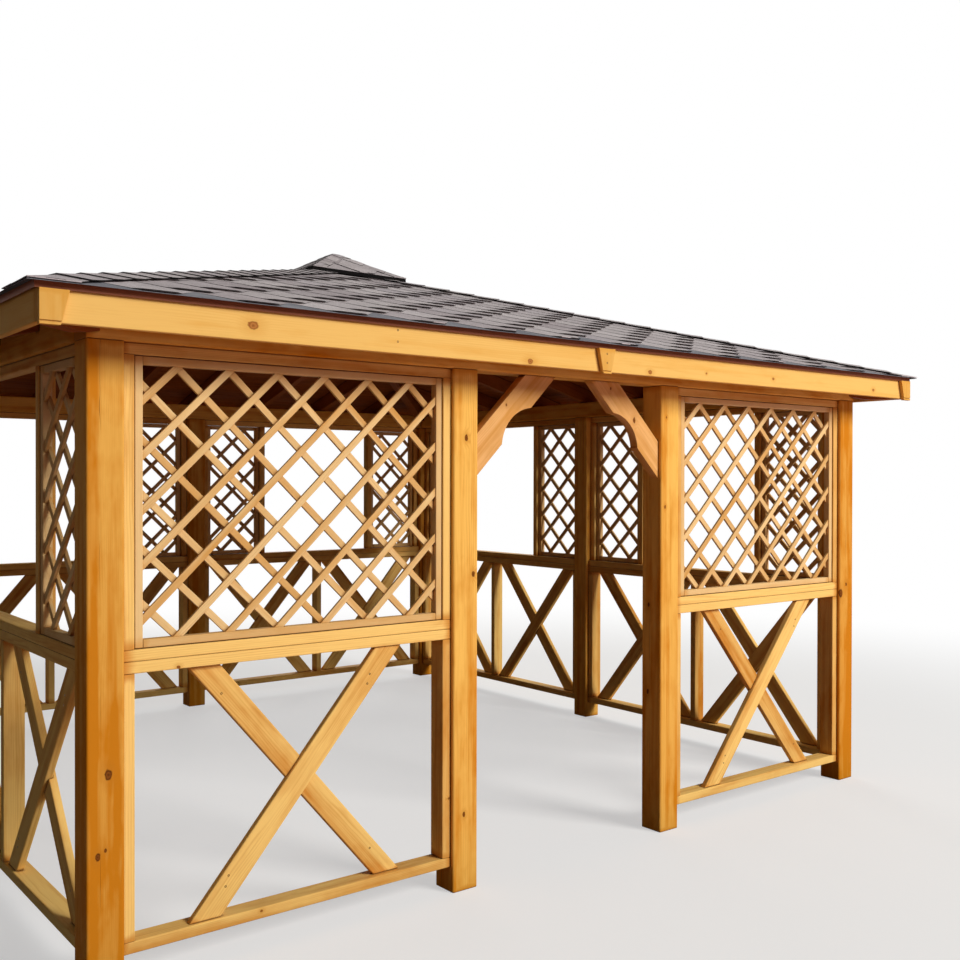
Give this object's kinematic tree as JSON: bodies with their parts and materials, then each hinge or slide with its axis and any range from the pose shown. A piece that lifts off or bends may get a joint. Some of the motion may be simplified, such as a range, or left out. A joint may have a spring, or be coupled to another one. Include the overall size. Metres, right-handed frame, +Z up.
{
  "type": "garden gazebo",
  "caption": "Square open wooden gazebo with lattice screens over cross-braced balustrades, an open braced doorway and a low shingled hip roof with a raised cap.",
  "frame": {"origin": "on the ground, at the centre of the plan", "axes": "+Z up, the doorway faces -Y, +X to the right as seen from the front"},
  "size_m": [4.596, 4.596, 2.929],
  "materials": {
    "post_timber": "oiled planed pine",
    "panel_timber": "oiled planed pine",
    "lattice_timber": "oiled planed pine",
    "fascia_timber": "oiled planed pine",
    "roof_timber": "oiled planed pine",
    "shingle": "mineral-surfaced bitumen",
    "drip_metal": "satin dark brown paint"
  },
  "bodies": {
    "root": {"back_balustrade": "panel_timber", "back_cross_braces": "panel_timber", "back_lattices": "lattice_timber", "back_screen_frames": "panel_timber", "beam_back": "post_timber", "beam_front": "post_timber", "beam_left": "post_timber", "beam_right": "post_timber", "cap_curb": "shingle", "cap_roof": "shingle", "door_brace_left": "post_timber", "door_brace_right": "post_timber", "drip_edges": "drip_metal", "fascia_back": "fascia_timber", "fascia_corner_blocks": "fascia_timber", "fascia_front": "fascia_timber", "fascia_keystones": "fascia_timber", "fascia_left": "fascia_timber", "fascia_right": "fascia_timber", "front_balustrade": "panel_timber", "front_cross_braces": "panel_timber", "front_lattices": "lattice_timber", "front_screen_frames": "panel_timber", "hip_rafters": "roof_timber", "jack_rafters": "roof_timber", "left_balustrade": "panel_timber", "left_cross_braces": "panel_timber", "left_lattices": "lattice_timber", "left_screen_frames": "panel_timber", "peak_block": "roof_timber", "post_back_left": "post_timber", "post_back_middle": "post_timber", "post_back_right": "post_timber", "post_door_left": "post_timber", "post_door_right": "post_timber", "post_front_left": "post_timber", "post_front_right": "post_timber", "post_left_middle": "post_timber", "post_right_middle": "post_timber", "right_balustrade": "panel_timber", "right_cross_braces": "panel_timber", "right_lattices": "lattice_timber", "right_screen_frames": "panel_timber", "roof_deck": "roof_timber", "shingle_layer": "shingle"}
  },
  "joints": []
}
